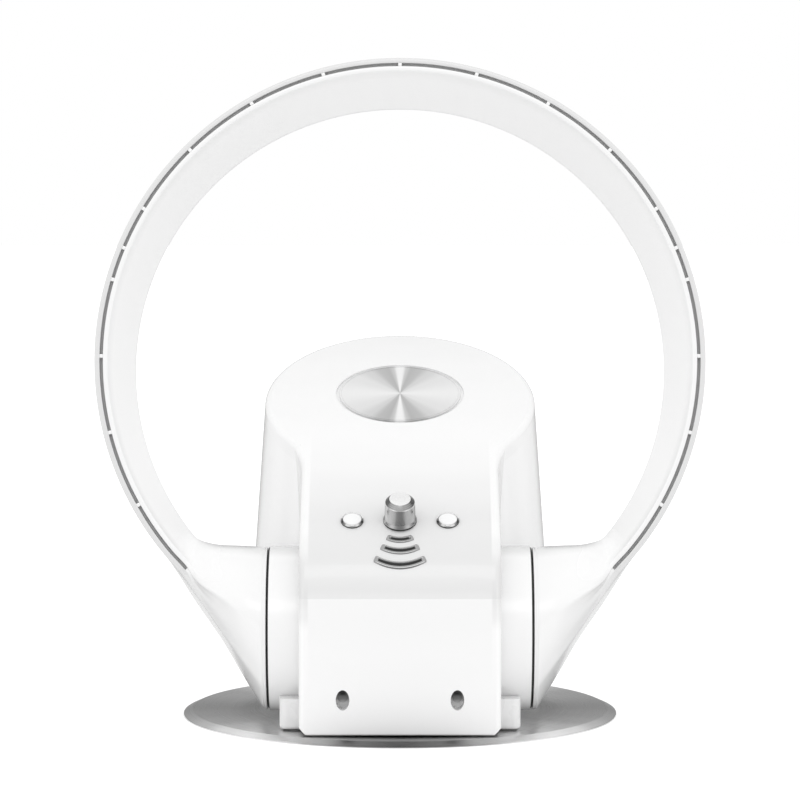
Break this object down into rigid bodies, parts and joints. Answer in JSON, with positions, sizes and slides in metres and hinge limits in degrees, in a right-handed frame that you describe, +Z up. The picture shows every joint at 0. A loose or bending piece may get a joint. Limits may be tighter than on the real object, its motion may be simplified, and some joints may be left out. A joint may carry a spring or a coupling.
{
  "type": "bladeless fan",
  "caption": "Bladeless fan: a wide air hoop on two hollow arms tilts on a drum, with a sloped control cover and a tapered blower housing, on a round metal plate.",
  "frame": {"origin": "centre of the round stand's underside, on the surface it stands on", "axes": "+Z up, the front of the fan faces -Y, +X along the tilt axis"},
  "size_m": [0.4012, 0.29, 0.4383],
  "materials": {
    "white_gloss": "smooth gloss moulded shell",
    "hoop_gloss": "smooth gloss moulded shell",
    "plate_metal": "satin brushed with a bright bevel",
    "badge_metal": "spun",
    "knob_metal": "satin",
    "chrome_trim": "polished",
    "dark_lens": "smoked",
    "rubber": "matt",
    "steel": "plated",
    "inner_plastic": "moulded",
    "bearing_plastic": "low friction",
    "black_plastic": "moulded",
    "circuit_board": "lacquered",
    "copper_winding": "enamelled wire and laminations"
  },
  "bodies": {
    "stand": {"base_plate": "plate_metal", "foot_ring": "rubber", "swivel_post": "steel", "post_screws": "steel", "thrust_washer": "bearing_plastic", "retaining_clip": "steel", "swivel_gear": "bearing_plastic"},
    "body": {"badge_disc": "badge_metal", "button_bezels": "chrome_trim", "chassis": "inner_plastic", "chassis_screws": "steel", "control_board": "circuit_board", "cover_screws": "steel", "dc_inlet": "black_plastic", "drum_housing": "white_gloss", "front_cover": "white_gloss", "indicator_bezels": "chrome_trim", "indicator_windows": "dark_lens", "intake_grille": "white_gloss", "motor_bearings": "steel", "motor_bracket": "inner_plastic", "motor_mount": "rubber", "motor_stator": "copper_winding", "pivot_bush_left": "bearing_plastic", "pivot_bush_right": "bearing_plastic", "power_board": "circuit_board", "push_switches": "black_plastic", "rear_housing": "white_gloss", "rotary_encoder": "black_plastic", "saddle": "white_gloss", "scroll_base": "inner_plastic", "scroll_cover": "inner_plastic", "swing_motor": "black_plastic", "top_cover": "white_gloss"},
    "hoop": {"hoop_outer_shell": "hoop_gloss", "hoop_inner_shell": "hoop_gloss", "arm_left": "hoop_gloss", "arm_right": "hoop_gloss", "pivot_tube_left": "inner_plastic", "pivot_tube_right": "inner_plastic", "hub_seal_left": "rubber", "hub_seal_right": "rubber"},
    "impeller": {"impeller": "inner_plastic", "motor_shaft": "steel", "motor_rotor": "steel"},
    "pinion": {"drive_pinion": "bearing_plastic"},
    "knob": {"speed_knob": "knob_metal", "encoder_shaft": "steel"},
    "button_left": {"button_left": "white_gloss"},
    "button_right": {"button_right": "white_gloss"}
  },
  "joints": [
    {"name": "swing", "type": "hinge", "parent": "stand", "child": "body", "pos_m": [0, 0, 0.012], "axis": [0, 0, 1], "range_deg": [-45, 45]},
    {"name": "hoop_tilt", "type": "hinge", "parent": "body", "child": "hoop", "pos_m": [0, -0.048, 0.0639], "axis": [1, 0, 0], "range_deg": [-29, 31]},
    {"name": "knob_turn", "type": "hinge", "parent": "body", "child": "knob", "pos_m": [0, -0.088, 0.139], "axis": [0, -0.5299, 0.848], "range_deg": [-140, 140]},
    {"name": "button_left_press", "type": "slide", "parent": "body", "child": "button_left", "axis": [0, 0.5299, -0.848], "range_m": [0, 0.0008], "stiffness_N_per_m": 1500},
    {"name": "button_right_press", "type": "slide", "parent": "body", "child": "button_right", "axis": [0, 0.5299, -0.848], "range_m": [0, 0.0008], "stiffness_N_per_m": 1500},
    {"name": "impeller_spin", "type": "hinge", "parent": "body", "child": "impeller", "pos_m": [0, 0.076, 0.05], "axis": [0, 0, 1], "continuous": true},
    {"name": "pinion_spin", "type": "hinge", "parent": "body", "child": "pinion", "pos_m": [0, 0.045, 0.006], "axis": [0, 0, 1], "range_deg": [-181, 181]}
  ],
  "couplings": [
    {"joint": "pinion_spin", "follows": "swing", "ratio": 4}
  ]
}
